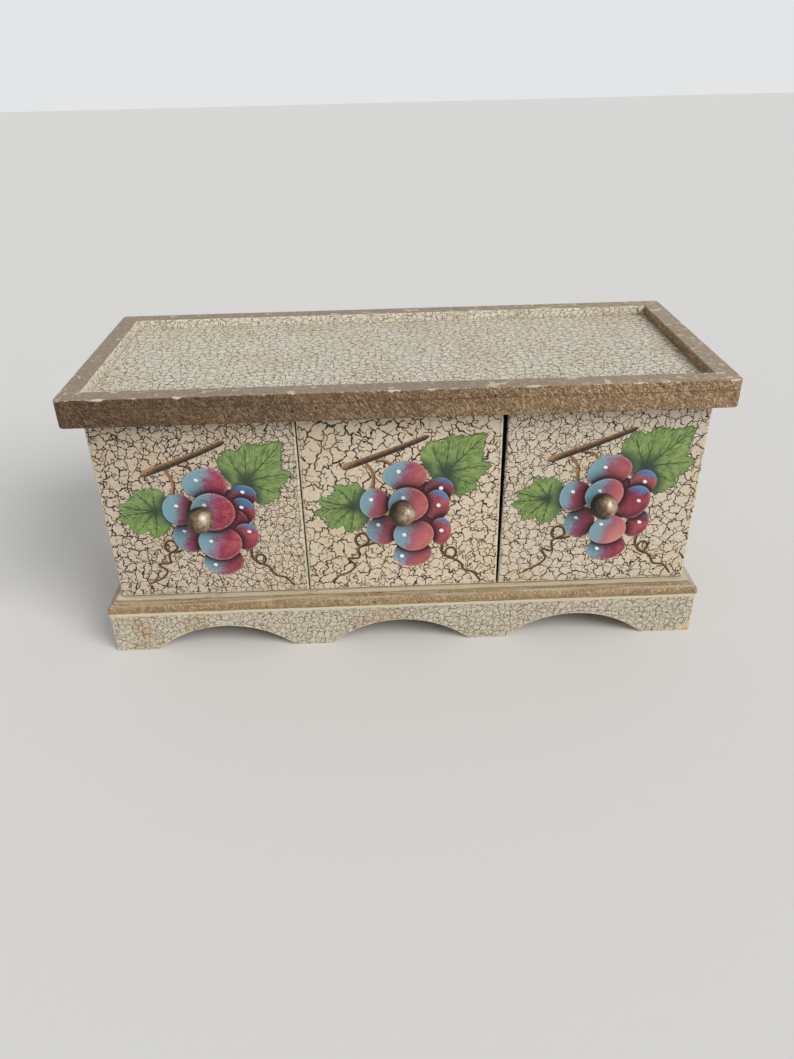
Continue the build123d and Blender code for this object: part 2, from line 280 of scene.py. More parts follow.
# Satin paint over crackle medium on a drawer front: matte islands, dark open cracks, rubbed pale edges
def frontMaterial(number):
    low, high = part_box(f"drawer_{number}_front")
    look = {**frontLook, **frontChanges[number], "centre": ((low.x + high.x) / 2, (low.z + high.z) / 2, 0)}
    material, add = newMaterial(f"crackle_painted_front_{number}", Specular_IOR_Level=0.4)
    at = readPlace(add)
    paint = creamCrackle(add, at, look)
    wobble = patches(add, at["whole"], (6 * mm, 3.0, 0.5), 0.3, 0.7, -0.6 * mm, 0.6 * mm)
    distance = add("+", edgeDistance(add, at, low, high), wobble)
    # A broken line of grime beside the rubbed edge
    edge = look["edge"]
    line = between(add, distance, edge, edge + 0.4 * mm, edge + 0.5 * mm, edge + 1.1 * mm)
    line = add("*", line, patches(add, at["whole"], (14 * mm, 2.0, 0.5), 0.42, 0.58, 0.0, 0.65))
    # Painted shade: a little greyer towards the left, away from the light, and under the lid
    leftward = add("range", at["x"], -0.2, 0.02, 0.75, 0.0)
    upward = add("range", at["z"], low.z + 70 * mm, high.z, 0.0, 0.4)
    paintedShade = add("blend", add("+", leftward, upward), white, look["paintedShade"])
    shaded = add("blend", 1.0, paint["colour"], paintedShade, blend_type="MULTIPLY")
    paint["colour"] = layColours(add, look, shaded, grime=line)
    paint = layOver(add, add("range", distance, edge * 0.6, edge, 0.5, 0.0), paint, rubbedCoat)
    # Painted shade: a dark base coat on a side that faces the open gap, with a ragged start
    sideways = add(">", add("abs", at["nx"]), 0.94)
    atGap = add("*", sideways, add("Math COMPARE", at["x"], gapLook["x"], gapLook["reach"]))
    deep = add(">", add("*+", wobble, 2.5, at["y"]), faceY + gapLook["behind"])
    paint = layOver(add, add("*", atGap, deep), paint, gapShade)
    behind = add(">", at["ny"], 0.5)
    return applyFinish(material, add, 0.3 * mm, **layOver(add, behind, paint, bareWood(add, at, woodLook)))


# Arches cut into an apron, in metres: arcs with centres below the floor
archLook = {"width": 0.103, "rise": 0.0195}
# Which way each row of them runs, where its middle is, and how far apart they are
archRows = {"front_apron": ("x", -0.0034, 0.131), "left_apron": ("y", lidMiddleY, 1.0),
            "right_apron": ("y", lidMiddleY, 1.0)}


# How far a point on an apron is above the arcs of its arches
def archDistance(add, at, along, offset, spacing):
    width, rise = archLook["width"], archLook["rise"]
    radius = (width ** 2 / 4 + rise ** 2) / (2 * rise)
    placed = add("Math WRAP", add("+", at[along], spacing / 2 - offset), spacing, 0.0)
    placed = add("-", placed, spacing / 2)
    height = add("+", at["z"], radius - rise)
    return add("-", add("length", add("CombineXYZ", placed, height, 0.0)), radius)


# The same crackle paint on a board of the carcass; the face that points inwards is bare wood
def paintedBoard(board, look, inward, along):
    material, add = newMaterial(f"crackle_painted_{board}", Specular_IOR_Level=0.4)
    at = readPlace(add)
    low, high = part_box(board)
    paint = creamCrackle(add, at, look)
    wobble = patches(add, at["whole"], (5 * mm, 3.0, 0.5), 0.3, 0.7, -0.5 * mm, 0.7 * mm)
    distance = edgeDistance(add, at, low, high)
    if board in archRows:
        distance = add("min", distance, archDistance(add, at, *archRows[board]))
    distance = add("+", distance, wobble)
    paint = layOver(add, add("range", distance, 0.5 * mm, 1.2 * mm, 0.9, 0.0), paint, rubbedCoat)
    if board == "front_apron":
        # One foot is knocked through to the wood
        knocked = add("*+", wobble, 2.5, add("VectorMath DISTANCE", at["whole"], (high.x, low.y, low.z)))
        knocked = add("range", knocked, 6.5 * mm, 8.5 * mm, 0.95, 0.0)
        paint = layOver(add, knocked, paint, bareWood(add, at, knockedLook))
    inside = add(">", add("dot", at["facing"], inward), 0.5)
    wood = bareWood(add, at, {**woodLook, "along": along})
    return applyFinish(material, add, 0.25 * mm, **layOver(add, inside, paint, wood))


# The lid and its rim: bronze outside, rubbed to the cream ground on the arrises, crackle inside the tray
lidLook = {"shade": "#9c948b", "dust": "#aa9c8b", "dusty": 0.5, "corner": "#8d7f66", "seam": "#3e2e1f", "metal": 0.35}
trayLook = {"cell": 5.8 * mm, "crack": 0.86 * mm, "cream": "#d3c9b4", "pale": "#e0d7c4", "dark": 0.9}
# The tray's inner walls: a paler cream than its floor, as painted light on the lit walls
litTrayWallLook = {"cell": 4.4 * mm, "crack": 0.7 * mm, "cream": "#e4dac6", "pale": "#eee6d6", "dark": 0.8}


def lidMaterial(name, isBoard):
    material, add = newMaterial(name)
    at = readPlace(add)
    outward = add("min", *endGaps(add, at, "xy", lidLow, lidHigh))
    belowTop = add("-", rimHigh.z, at["z"])
    aboveLow = add("-", at["z"], lidLow.z)
    fray = patches(add, at["whole"], (9 * mm, 5.0, 0.72), 0.36, 0.68, 2.0 * mm, -0.9 * mm)
    wear = []
    for height, limit, most in ((belowTop, 0.5 * mm, 0.75), (aboveLow, 0.1 * mm, 0.4)):
        arris = add("+", add("max", outward, height), fray)
        wear.append(add("range", arris, limit, limit + 0.5 * mm, most, 0.0))
    # Flakes of bare ground on the level tops, more of them to the right
    level = add(">", at["nz"], mostly)
    right = add("soft", at["x"], lidLow.x, lidHigh.x)
    flake = add("*+", right, 0.035, add("TexNoise", at["whole"], 1 / (8 * mm), 5.0, 0.68))
    flake = add("range", flake, 0.605, 0.63, 0.0, 0.65)
    worn = add("max", add("max", *wear), add("*", flake, level))
    bronze = bronzePaint(add, at, bronzeLook)
    # Painted shade: faces darken to the left, away from the light, level ones less, and level ones are greyed by dust
    # and a painted sheen
    lit = add("max", right, add("*", level, 0.6))
    tint = add("blend", lit, lidLook["shade"], white)
    tinted = add("blend", 1.0, bronze["colour"], tint, blend_type="MULTIPLY")
    # Dust and a painted sheen grey the level faces
    dust = add("*", level, lidLook["dusty"])
    # The joint between strip and board
    seam = add("range", add("abs", add("-", at["z"], rimLow.z)), 0.2 * mm, 0.55 * mm, 0.45, 0.0)
    bronze["colour"] = layColours(add, lidLook, tinted, dust=dust, seam=seam)
    outer = layOver(add, worn, bronze, rubbedCoat)
    cream = creamCrackle(add, at, {**fineLook, **(trayLook if isBoard else litTrayWallLook)})
    inner = add(">", outward, rimWidth - 0.5 * mm)
    if isBoard:
        # Darker along the tray's edges at the foot of the rim, and bare wood underneath
        corner = add("range", outward, rimWidth, rimWidth + 2.0 * mm, 0.7, 0.0)
        cream["colour"] = layColours(add, lidLook, cream["colour"], corner=corner)
        down = add("<", at["nz"], -0.5)
        away = add(">", outward, 12 * mm)
        finish = layOver(add, add("*", down, away), layOver(add, inner, outer, cream), bareWood(add, at, woodLook))
    else:
        # Painted shade: the right strip's inner wall, which faces away from the light, is painted bronze like its
        # outside
        inner = add("*", inner, add("<", at["x"], lidHigh.x - rimWidth - 0.3 * mm))
        finish = layOver(add, inner, outer, cream)
    # Only the bronze has a metal's sheen
    finish["metal"] = add("range", add("max", inner, worn), 0.0, 1.0, lidLook["metal"], 0.0)
    return applyFinish(material, add, 0.22 * mm, **finish)


# The base board: pale rubbed lips, and a bronze band on the round between them, all brushed lengthwise
baseLook = {"lipLow": 2.0 * mm, "lipHigh": 0.1 * mm, "crestHighlight": 2.0 * mm, "lip": "#d8ccb2", "olive": "#7f7049",
            "paleOlive": "#937f57"}
baseBronzeLook = {**bronzeLook, "gold": "#a2875f", "brown": "#7e6546", "hollow": "#5f4a30", "sparkle": 0.65,
                  "shift": 3.3}


def baseMaterial():
    material, add = newMaterial("brushed_moulded_base", Metallic=0.1)
    at = readPlace(add)
    # How far in from the outline, so that the streaks follow the moulding round its corners
    gapX, gapY = endGaps(add, at, "xy", baseLow, baseHigh)
    inset = add("min", gapX, gapY)
    along = add("*", add("+", at["x"], at["y"]), 0.035)
    lengthwise = add("CombineXYZ", along, inset, at["z"])
    streak = patches(add, lengthwise, (1.5 * mm, 3.0, 0.65), 0.4, 0.62, kind="soft")
    bronze = bronzePaint(add, at, baseBronzeLook)
    bandLow, bandHigh = baseLow.z + baseLook["lipLow"], baseHigh.z - baseLook["lipHigh"]
    # Olive shows through along both edges of the band, and a painted highlight runs pale along the round's upper part
    showing = {}
    for name, height, spread in (("olive", (bandLow + bandHigh) / 2, (0.8 * mm, 3.4 * mm, 0.15, 0.9)),
                                 ("lip", baseHigh.z - baseLook["crestHighlight"], (0.3 * mm, 1.6 * mm, 0.6, 0.0))):
        off = add("abs", add("-", at["z"], height))
        showing[name] = add("*", add("range", off, *spread), streak)
    bronze["colour"] = layColours(add, baseLook, bronze["colour"], **showing)
    wobble = patches(add, at["whole"], (12 * mm, 3.0, 0.5), 0.3, 0.7, -0.25 * mm, 0.25 * mm)
    level = add("+", at["z"], wobble)
    band = between(add, level, bandLow, bandLow + 0.4 * mm, bandHigh - 0.4 * mm, bandHigh)
    # The level step is olive beside the band and cream further in
    upper = add("range", level, bandLow, bandHigh, 0.1, 1.0)
    near = add("range", inset, 4.0 * mm, 6.5 * mm, 1.0, 0.25)
    stained = add("*", add("*", upper, near), add("range", streak, 0.0, 1.0, 0.35, 1.0))
    pale = layColours(add, baseLook, baseLook["lip"], paleOlive=stained)
    finish = layOver(add, band, {"colour": pale, "rough": 0.5, "height": streak}, bronze)
    # Bare wood underneath, and on top inside the carcass
    inX = add(">", gapX, baseHigh.x - sideHigh.x + 9 * mm)
    flat = add(">", add("abs", at["nz"]), 0.9)
    inY = add(">", at["y"], sideLow.y)
    inside = add("*", add("*", inX, flat), inY)
    bare = add("max", inside, add("<", at["nz"], -0.5))
    return applyFinish(material, add, 0.2 * mm, **layOver(add, bare, finish, bareWood(add, at, woodLook)))


# Planed pine or thin plywood, left unfinished; the front edge of a divider behind an open gap is painted dark, as
# painted shade in the gap
def woodMaterial(name, look, along, isDivider=False):
    material, add = newMaterial(name, Specular_IOR_Level=0.35)
    at = readPlace(add)
    wood = bareWood(add, at, {**look, "along": along})
    if isDivider:
        wood = layOver(add, add("<", at["ny"], -0.5), wood, gapShade)
    return applyFinish(material, add, 0.08 * mm, **wood)


# Turned wooden balls in antique bronze paint with a thin satin coat: mottled, with a painted highlight on the side
# towards the light and painted shade on the side away from it
knobLook = {"dark": "#2a2018", "brown": "#65503a", "gold": "#8c7457", "glint": "#bfab8a", "worn": "#c4b29d",
            "lightFrom": (0.66, -0.68, 0.32)}


def knobMaterial():
    material, add = newMaterial("antique_bronze_painted_knob", Metallic=0.35, Coat_Weight=0.2, Coat_Roughness=0.35)
    at = readPlace(add)
    cloud = patches(add, at["whole"], (5 * mm, 4.0, 0.65), 0.35, 0.68, kind="soft")
    fine = add("TexNoise", at["whole"], 1 / (1.2 * mm), 3.0, 0.65)
    light = add("soft", fine, 0.5, 0.75, 0.0, 0.55)
    # Painted highlight on the side that faces the light, and painted shade on the side away from it
    towardsLight = add("*+", cloud, 0.3, add("dot", at["facing"], knobLook["lightFrom"]))
    knobShade = add("soft", towardsLight, 1.0, 0.15, 0.0, 0.92)
    worn = add("soft", add("*+", fine, 0.4, towardsLight), 1.02, 1.4, 0.0, 0.7)
    colour = layColours(add, knobLook, knobLook["brown"], gold=cloud, glint=light, dark=knobShade, worn=worn)
    return applyFinish(material, add, 0.12 * mm, colour, add("range", cloud, 0.0, 1.0, 0.52, 0.42), fine)


# A plain finish of one noise between two colours
def speckledMaterial(name, size, detail, colours, roughs, depth, **settings):
    material, add = newMaterial(name, **settings)
    speck = add("TexNoise", readPlace(add)["whole"], 1 / size, detail)
    colour = add("blend", speck, *colours)
    return applyFinish(material, add, depth, colour, add("range", speck, 0.3, 0.7, *roughs), speck)


def dress(name, material):
    mesh = nodes[name].data
    mesh.materials.clear()
    mesh.materials.append(material)


for number in (1, 2, 3):
    dress(f"drawer_{number}_front", frontMaterial(number))
dress("top_board", lidMaterial("bronze_and_crackle_painted_lid_board", True))
rimPaint = lidMaterial("bronze_painted_rim", False)
sideLook = {**fineLook, "cell": 7.5 * mm, "crack": 0.85 * mm, "dark": 0.95, "crackColour": "#2e2317", "shift": 5.3}
apronLook = {**fineLook, "cell": 4.5 * mm, "crack": 0.68 * mm, "dark": 0.85, "shift": 6.4, "cream": "#c3b9a3",
             "pale": "#d4cbb8", "aged": "#bb9770", "ageing": 0.6, "agedTo": (-0.1, 0.12), "halo": 0.35,
             "haloColour": "#a08a69", "crackColour": "#4c3b26"}
inward = {"front": (0, 1, 0), "back": (0, -1, 0), "left": (1, 0, 0), "right": (-1, 0, 0)}
for side, way in inward.items():
    dress(f"{side}_rim", rimPaint)
    dress(f"{side}_apron", paintedBoard(f"{side}_apron", apronLook, way, "x" if way[1] else "y"))
for side in ("left", "right"):
    dress(f"{side}_side", paintedBoard(f"{side}_side", sideLook, inward[side], "z"))
dress("base_board", baseMaterial())

knobPaint = knobMaterial()
# Zinc-plated screws and nails: pale metal with a faint bloom
steel = speckledMaterial("zinc_plated_steel", 1.5 * mm, 3.0, ("#8f8d88", "#b5b2aa"), (0.3, 0.5), 0.03 * mm,
                         Metallic=1.0)
pine = {axis: woodMaterial(f"planed_pine_along_{axis}", woodLook, axis) for axis in "xyz"}
plywood = woodMaterial("thin_plywood", plyLook, "x")
dividerPine = woodMaterial("planed_pine_divider", woodLook, "z", True)
for number in (1, 2, 3):
    for part, material in (("knob", knobPaint), ("box_left", pine["y"]), ("box_right", pine["y"]),
                           ("box_front", pine["x"]), ("box_back", pine["x"]), ("box_bottom", plywood),
                           ("knob_screw", steel), ("front_screws", steel)):
        dress(f"drawer_{number}_{part}", material)
for name, material in (("back_panel", plywood), ("divider_1", pine["z"]), ("divider_2", dividerPine),
                       ("glue_blocks", pine["z"]), ("lid_dowels", pine["z"]), ("base_screws", steel),
                       ("back_nails", steel)):
    dress(name, material)
print("finishes on the CAD nodes done")

# The painted bunches: thin films of paint at places measured on the photo, in mm from each knob's centre

# Each grape, back ones first: x, z, half width, half height, tilt, and how much sky blue, deep blue and coral
grapeBunches = {
    1: [(18, 8, 8, 9, 0, -1, -1, 0), (9.5, -40.6, 14.1, 12.5, 0, 0.3, -1, 0),
        (-12.1, -19.6, 11.3, 13.2, 0, 0.25, -1, 0), (28.6, 11.1, 9.7, 8.7, 0, -1, 0.42, 0),
        (27.3, -0.5, 9.2, 10.5, 0, -1, 0.3, 0), (21.2, -10.5, 9.8, 11.3, 0, -1, -1, 0),
        (27.9, -21.2, 8.9, 10.9, 0, -1, 0.05, 0), (-16.2, 2.3, 11.6, 12.1, 0, 0.35, -1, 0),
        (4.4, 21.3, 15.3, 12.2, -5, 0.25, -1, 0), (8.9, -25.7, 15.4, 13.9, -10, 0.15, -1, 0),
        (6.8, -0.3, 15.5, 14.9, 0, 0.1, -1, 0)],
    2: [(16.5, 9, 8.5, 9, 0, -1, -1, 0), (7.3, -39.9, 13.6, 11.3, 0, 0.15, -1, 0.35),
        (-14, -19.8, 11.3, 12, 0, 0.15, -1, 0.35), (26.3, 11, 10.1, 9.8, 0, -1, 0.15, 0.2),
        (17.7, -12.7, 9.1, 10.5, 0, -1, -1, 0), (24.5, -0.6, 9.4, 11.8, 0, -1, 0.15, 0.2),
        (27.6, -22.1, 7.4, 11.1, 0, -1, 0.05, 0.2), (-18.6, 2.2, 10.8, 11.5, 0, 0.15, -1, 0.35),
        (2.9, 23.2, 15.2, 10.7, 0, 0.15, -1, 0.35), (8.1, -24.6, 14.4, 12.8, 0, 0.12, -1, 0.6),
        (4.4, 0.2, 14, 13.7, 0, 0.1, -1, 0.5)],
    3: [(16, 0, 9, 16, 0, -1, -1, 0), (8.6, -40.9, 14, 10.5, 8, 0.25, -1, 0),
        (-12.7, -19, 10.5, 12.6, -15, 0.05, -1, -0.4), (29.2, 11.2, 9.3, 10.3, 0, -1, 0.2, 0.6),
        (28.8, -21.9, 7.9, 11, -25, -1, 0.15, 0), (23.9, -3.8, 11.5, 13.5, -30, -1, 0.12, -0.8),
        (-17.8, 2.6, 10.9, 12.1, -25, 0.15, -1, -0.3), (4.4, 21.3, 15.6, 11.8, 14, 0.15, -1, 0.3),
        (8.1, -26, 13.5, 11.3, 20, 0.2, -1, 1), (2.9, 2.9, 13.7, 12.5, 25, 0.15, -1, 0.75)],
}
highlights = {
    1: [(-1.3, 25.1), (-17.6, 5.7), (1.7, 5.6), (2.7, -23.7), (3.2, -43.7), (-14.9, -14.8), (29.2, 14.7), (27.2, 2.8),
        (30.5, -17)],
    2: [(-1.7, 26.5), (-21.2, 5.4), (1.2, 6), (-16.8, -15.1), (1.4, -24), (-0.6, -41.9), (27.5, 12.6), (25.8, -0.9),
        (28, -21.5)],
    3: [(1.3, 24.5), (-19.7, 6.2), (-0.8, 6.2), (-15.7, -14.7), (3, -20.9), (1.9, -41.3), (30.1, 12.3), (27.7, -2.7),
        (30.3, -20.2)],
}
# Leaf margins as angle and reach from where the veins meet, and each leaf's place, turn and size
leafMargins = {
    "right": [(-75, 15), (-62, 22.5), (-46, 23.5), (-27, 27.0), (-17, 23.5), (-3, 29.0), (9, 33.5), (21, 28.5),
              (34, 32.5), (46, 41.5), (55, 36.0), (62, 31.0), (73, 29.5), (84, 29.0), (96, 23.5), (113, 27.5),
              (124, 25.5), (137, 24.5), (152, 18.5), (180, 11.0), (230, 9.0), (262, 11.0)],
    "left": [(43, 14.0), (66, 16.5), (88, 18.0), (106, 17.5), (126, 21.0), (140, 17.5), (155, 20.0), (169, 27.0),
             (180, 21.5), (189, 28.8), (205, 23.0), (227, 25.3), (243, 18.0), (258, 22.0), (278, 19.5), (305, 16.0),
             (335, 13.0), (10, 12.0)],
}
leafVeins = {"right": [(46, 38), (9, 30), (84, 25), (115, 22), (-26, 23), (-60, 18)],
             "left": [(187, 26), (167, 23), (126, 18), (85, 14), (227, 22), (262, 19)]}
leafPlaces = {
    1: {"right": (31.8, 22.4, 0, 0.98), "left": (-32.8, 1.8, 2, 1)},
    2: {"right": (30, 24.3, -1, 0.97), "left": (-33.5, 0.1, -1, 0.99)},
    3: {"right": (28.6, 23.3, -4, 1.05), "left": (-36.3, 0.9, -2, 0.94)},
}
# Strokes as lists of points, with their widths from start to end
twigStrokes = {
    1: {"twig": [(-38.1, 29.9), (-8, 40.6), (21.3, 52.8)], "hook": [(-21.5, 33.5), (-17.3, 23.2), (-19.2, 13)],
        "loop": [(-12.6, 36.3), (-6.5, 34.9), (-3, 31)], "stems": (2.4, 1.5), "tendril": (2.3, 1.6),
        "loopPaint": "tendril"},
    2: {"twig": [(-40.3, 30), (-10.5, 40.3), (19.4, 52.1)], "hook": [(-23.8, 33.1), (-19.1, 25.1), (-20, 12.8)],
        "loop": [(-17.4, 35.2), (-10.2, 34.2), (-4.8, 29.7)], "stems": (2.3, 2.3), "tendril": (2.2, 1.6)},
    3: {"twig": [(-39, 30.8), (-9.6, 41.2), (20.7, 53.2)], "hook": [(-24.1, 34.6), (-17.8, 25.5), (-17.8, 13.1)],
        "loop": [(-16.8, 36.9), (-8.6, 35.6), (-3.8, 31.1)], "stems": (2.0, 2.0), "tendril": (2.2, 1.6)},
}
# A point with five values is a loop: its centre, radius, and first and last angle
tendrilStrokes = {
    1: [[(-19, -31.2), (-26.4, -27.3, 4.2, -70, -390), (-28.6, -34), (-29.3, -41), (-37.7, -42.2), (-32.2, -48),
         (-37.5, -54.5), (-47.7, -59)],
        [(30.5, -29.7), (30.2, -38), (36, -40.5, 3.4, -110, 220), (41.2, -47.4), (45.4, -54.5), (52.6, -57.3),
         (58.7, -64.8)]],
    2: [[(-19.5, -29.9), (-28.9, -27.3, 4.6, -70, -390), (-31.5, -34.6), (-31.7, -42.3), (-39.6, -42.8),
         (-34.7, -48.9), (-39.6, -54.7), (-46.2, -57.1), (-52.4, -62.6)],
        [(29.6, -30.4), (28.1, -38.4), (34.8, -40.6, 3.8, -110, 220), (41.5, -49.1), (45.1, -55.9), (51.6, -58.5),
         (57.3, -66.2)]],
    3: [[(-18.4, -30.6), (-27.6, -26.8, 4.5, -70, -390), (-31.3, -33.6), (-31.1, -42.1), (-38.3, -40.3),
         (-35.3, -48.8), (-43, -55.5), (-49.8, -58.2)],
        [(30.4, -30.5), (29.5, -38), (35.3, -41, 3.6, -110, 220), (40.8, -48.4), (45.1, -55.7), (52.9, -57.6),
         (59, -65.4)]],
}

# Each knob's centre, from which the places on its front are measured
knobPlaces = {}
for number in (1, 2, 3):
    low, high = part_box(f"drawer_{number}_knob")
    knobPlaces[number] = ((low.x + high.x) / 2, (low.z + high.z) / 2)


# A place in the frame from x, depth and z on a drawer's front, in mm
def placeOn(number, x, depth, z):
    seatX, seatZ = knobPlaces[number]
    return seatX + x * mm, faceY + depth * mm, seatZ + z * mm


def turnBy(x, z, angle):
    return x * math.cos(angle) - z * math.sin(angle), x * math.sin(angle) + z * math.cos(angle)


def reachFrom(start, reach, angle):
    return start[0] + reach * math.cos(angle), start[1] + reach * math.sin(angle)


# Round loops in tendrils: how many steps, and how much taller than wide
loopLook = {"steps": 8, "tall": 1.15}


def openLoops(points):
    opened = []
    for x, z, *loop in points:
        if not loop:
            opened.append((x, z))
            continue
        radius, first, last = loop
        for step in range(loopLook["steps"] + 1):
            angle = math.radians(first + (last - first) * step / loopLook["steps"])
            opened.append((x + radius * math.cos(angle), z + radius * loopLook["tall"] * math.sin(angle)))
    return opened


# In edit mode, makes a sheet of faces into a closed film
def thicken(depth):
    bpy.ops.mesh.select_all(action="SELECT")
    bpy.ops.mesh.extrude_region_move(TRANSFORM_OT_translate={"value": (0, depth, 0)})


# One unit disc with rings of faces, facing the front; every grape, leaf and highlight starts as a copy of it
def makeDisc(corners, rings):
    bpy.ops.object.select_all(action="DESELECT")
    bpy.ops.mesh.primitive_circle_add(vertices=corners, radius=1, fill_type="NGON", rotation=(math.pi / 2, 0, 0))
    disc = bpy.context.object
    bpy.ops.object.transform_apply(rotation=True)
    bpy.ops.object.mode_set(mode="EDIT")
    bpy.ops.mesh.select_all(action="SELECT")
    for _ in range(rings - 1):
        bpy.ops.mesh.inset(thickness=1 / rings)
    bpy.ops.mesh.poke()
    thicken(-1)  # front at y -1, back at y 0
    bpy.ops.object.mode_set(mode="OBJECT")
    return disc


# Leaves a number or three of them at each point of a mesh, for its material
def writeAttribute(mesh, name, values):
    kind, field = ("FLOAT", "value") if isinstance(values[0], float) else ("FLOAT_VECTOR", "vector")
    for item, value in zip(mesh.attributes.new(name, kind, "POINT").data, values):
        setattr(item, field, value)


def addObject(name, data):
    added = bpy.data.objects.new(name, data)
    bpy.context.scene.collection.objects.link(added)
    return added


def copyPiece(source, material):
    piece = addObject("piece", source.data.copy())
    piece.data.materials.append(material)
    return piece


def joinPieces(pieces, number, kind):
    bpy.ops.object.select_all(action="DESELECT")
    for piece in pieces:
        piece.select_set(True)
    bpy.context.view_layer.objects.active = pieces[0]
    bpy.ops.object.join()
    joined = bpy.context.object
    joined.name = joined.data.name = f"drawer_{number}_painted_{kind}"
    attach(joined, f"drawer_{number}")


# Grapes: how thick the first is, how much thicker each next one and how far its shade reaches, in mm, and how uneven
# their outlines are
grapeLook = {"lift": 0.22, "step": 0.06, "wavy": 0.018, "shade": 5.2}
# Highlight dots, in mm: how thick, how they lean, and their half sizes on each drawer
dotLook = {"lift": 0.95, "lean": (0.9, 0.4), "half": {1: (1.5, 1.05), 2: (1.55, 1.4), 3: (1.6, 1.15)}}


# How deep a spot on one grape lies in the shade of the grapes painted over it
def overlapShade(x, z, above):
    shade = 0.0
    for otherX, otherZ, wide, tall, tilt, *_ in above:
        u, v = turnBy(x - otherX, z - otherZ, math.radians(-tilt))
        gap = (math.hypot(u / wide, v / tall) - 1) * min(wide, tall)
        shade = max(shade, math.exp(-max(gap, 0) / grapeLook["shade"]))
    return shade


def makeGrapes(number):
    bunch = grapeBunches[number]
    pieces = []
    for index, (x, z, wide, tall, tilt, *tone) in enumerate(bunch):
        grape = copyPiece(discs["grape"], grapePaint)
        lift = grapeLook["lift"] + grapeLook["step"] * index
        turn = math.radians(tilt)
        spots, shades = [], []
        for vertex in grape.data.vertices:
            u, v = vertex.co.x, vertex.co.z
            # No hand paints a true ellipse
            wavy = 1 + grapeLook["wavy"] * math.sin(3 * math.atan2(v, u) + 2.1 * index)
            dx, dz = turnBy(u * wide, v * tall, turn)
            outX, outZ = x + dx * wavy, z + dz * wavy
            spots.append((*turnBy(u, v, turn), 0.0))
            shades.append(overlapShade(outX, outZ, bunch[index + 1:]))
            vertex.co = placeOn(number, outX, vertex.co.y * lift, outZ)
        writeAttribute(grape.data, "spot", spots)
        writeAttribute(grape.data, "tone", [tone] * len(spots))
        writeAttribute(grape.data, "shade", shades)
        pieces.append(grape)
    wide, tall = dotLook["half"][number]
    straight, leaning = dotLook["lean"]
    for x, z in highlights[number]:
        dot = copyPiece(discs["dot"], whitePaint)
        for vertex in dot.data.vertices:
            u, v = vertex.co.x * wide, vertex.co.z * tall
            vertex.co = placeOn(number, x + u * straight + v * leaning, vertex.co.y * dotLook["lift"],
                                z - u * leaning + v * straight)
        pieces.append(dot)
    joinPieces(pieces, number, "grapes")


# Leaves: how thick in mm, and how many teeth stand out how far
leafLook = {"lift": 0.1, "teeth": 37, "depth": 2.4}
# Veins: widths from start to end in mm, and the angle of the side veins
veinLook = {"long": (0.85, 0.4), "short": (0.65, 0.3), "side": (0.45, 0.22), "angle": 38}
# Side veins of the first vein and of the others: where they leave it and how long they are, as shares of its length
firstSides, otherSides = ((0.3, 0.48, 0.66, 0.82), 0.36), ((0.45, 0.7), 0.24)


# Reach of a leaf's margin at an angle: pointed lobes, round notches, and teeth that lean towards each lobe's tip
def marginReach(margin, angle):
    ordered = sorted((degrees % 360, reach) for degrees, reach in margin)
    degrees = math.degrees(angle) % 360
    after = next((index for index, (corner, _) in enumerate(ordered) if corner > degrees), 0)
    (startAngle, startReach), (endAngle, endReach) = ordered[after - 1], ordered[after]
    share = ((degrees - startAngle) % 360) / ((endAngle - startAngle) % 360)
    tooth = (degrees / 360 * leafLook["teeth"]) % 1
    if endReach > startReach:
        share = share ** 1.25
    else:
        share = 1 - (1 - share) ** 1.25
        tooth = 1 - tooth
    return startReach + (endReach - startReach) * share + leafLook["depth"] * (tooth - 0.4)


def makeLeaf(number, side):
    x, z, turn, size = leafPlaces[number][side]
    leaf = copyPiece(discs["leaf"], leafPaint)
    spots, shades = [], []
    for vertex in leaf.data.vertices:
        angle = math.atan2(vertex.co.z, vertex.co.x)
        share = math.hypot(vertex.co.x, vertex.co.z)
        reach = marginReach(leafMargins[side], angle) * size * share
        dx, dz = reachFrom((0, 0), reach, angle + math.radians(turn))
        spots.append((dx, dz, share))
        shades.append(overlapShade(x + dx, z + dz, grapeBunches[number]))
        vertex.co = placeOn(number, x + dx, vertex.co.y * leafLook["lift"], z + dz)
    writeAttribute(leaf.data, "leaf", spots)
    writeAttribute(leaf.data, "shade", shades)
    # Veins: one stroke to each lobe, with pairs of side veins off it
    strokes = []
    for index, (degrees, reach) in enumerate(leafVeins[side]):
        angle = math.radians(degrees + turn)
        bow = math.radians(4 if index % 2 else -3)
        points = [reachFrom((x, z), reach * size * share, angle + bow * (1 - share)) for share in (0.03, 0.35, 0.7, 1)]
        strokes.append((points, veinLook["long" if index < 2 else "short"]))
        shares, lengthShare = otherSides if index else firstSides
        for share in shares:
            start = reachFrom((x, z), reach * size * share, angle)
            length = reach * size * lengthShare * (1.15 - share)
            for way in (-1, 1):
                out = angle + way * math.radians(veinLook["angle"])
                points = [start, reachFrom(start, 0.5 * length, out), reachFrom(start, length, out - way * 0.2)]
                strokes.append((points, veinLook["side"]))
    return [leaf] + [paintStroke(number, points, widths, "vein") for points, widths in strokes]


# Smooth points along a stroke's path
def smoothPath(points, steps):
    path = []
    count = len(points) - 1
    for step in range(steps + 1):
        spot = min(step / steps * count, count - 1e-6)
        index = int(spot)
        share = spot - index
        before = Vector(points[max(index - 1, 0)])
        start, end = Vector(points[index]), Vector(points[index + 1])
        after = Vector(points[min(index + 2, count)])
        path.append(0.5 * (2 * start + (end - before) * share + (2 * before - 5 * start + 4 * end - after) * share ** 2
                           + (3 * start - before - 3 * end + after) * share ** 3))
    return path


# The painter lights every stroke from the upper left
strokeLight = Vector((-0.5, 0.87))


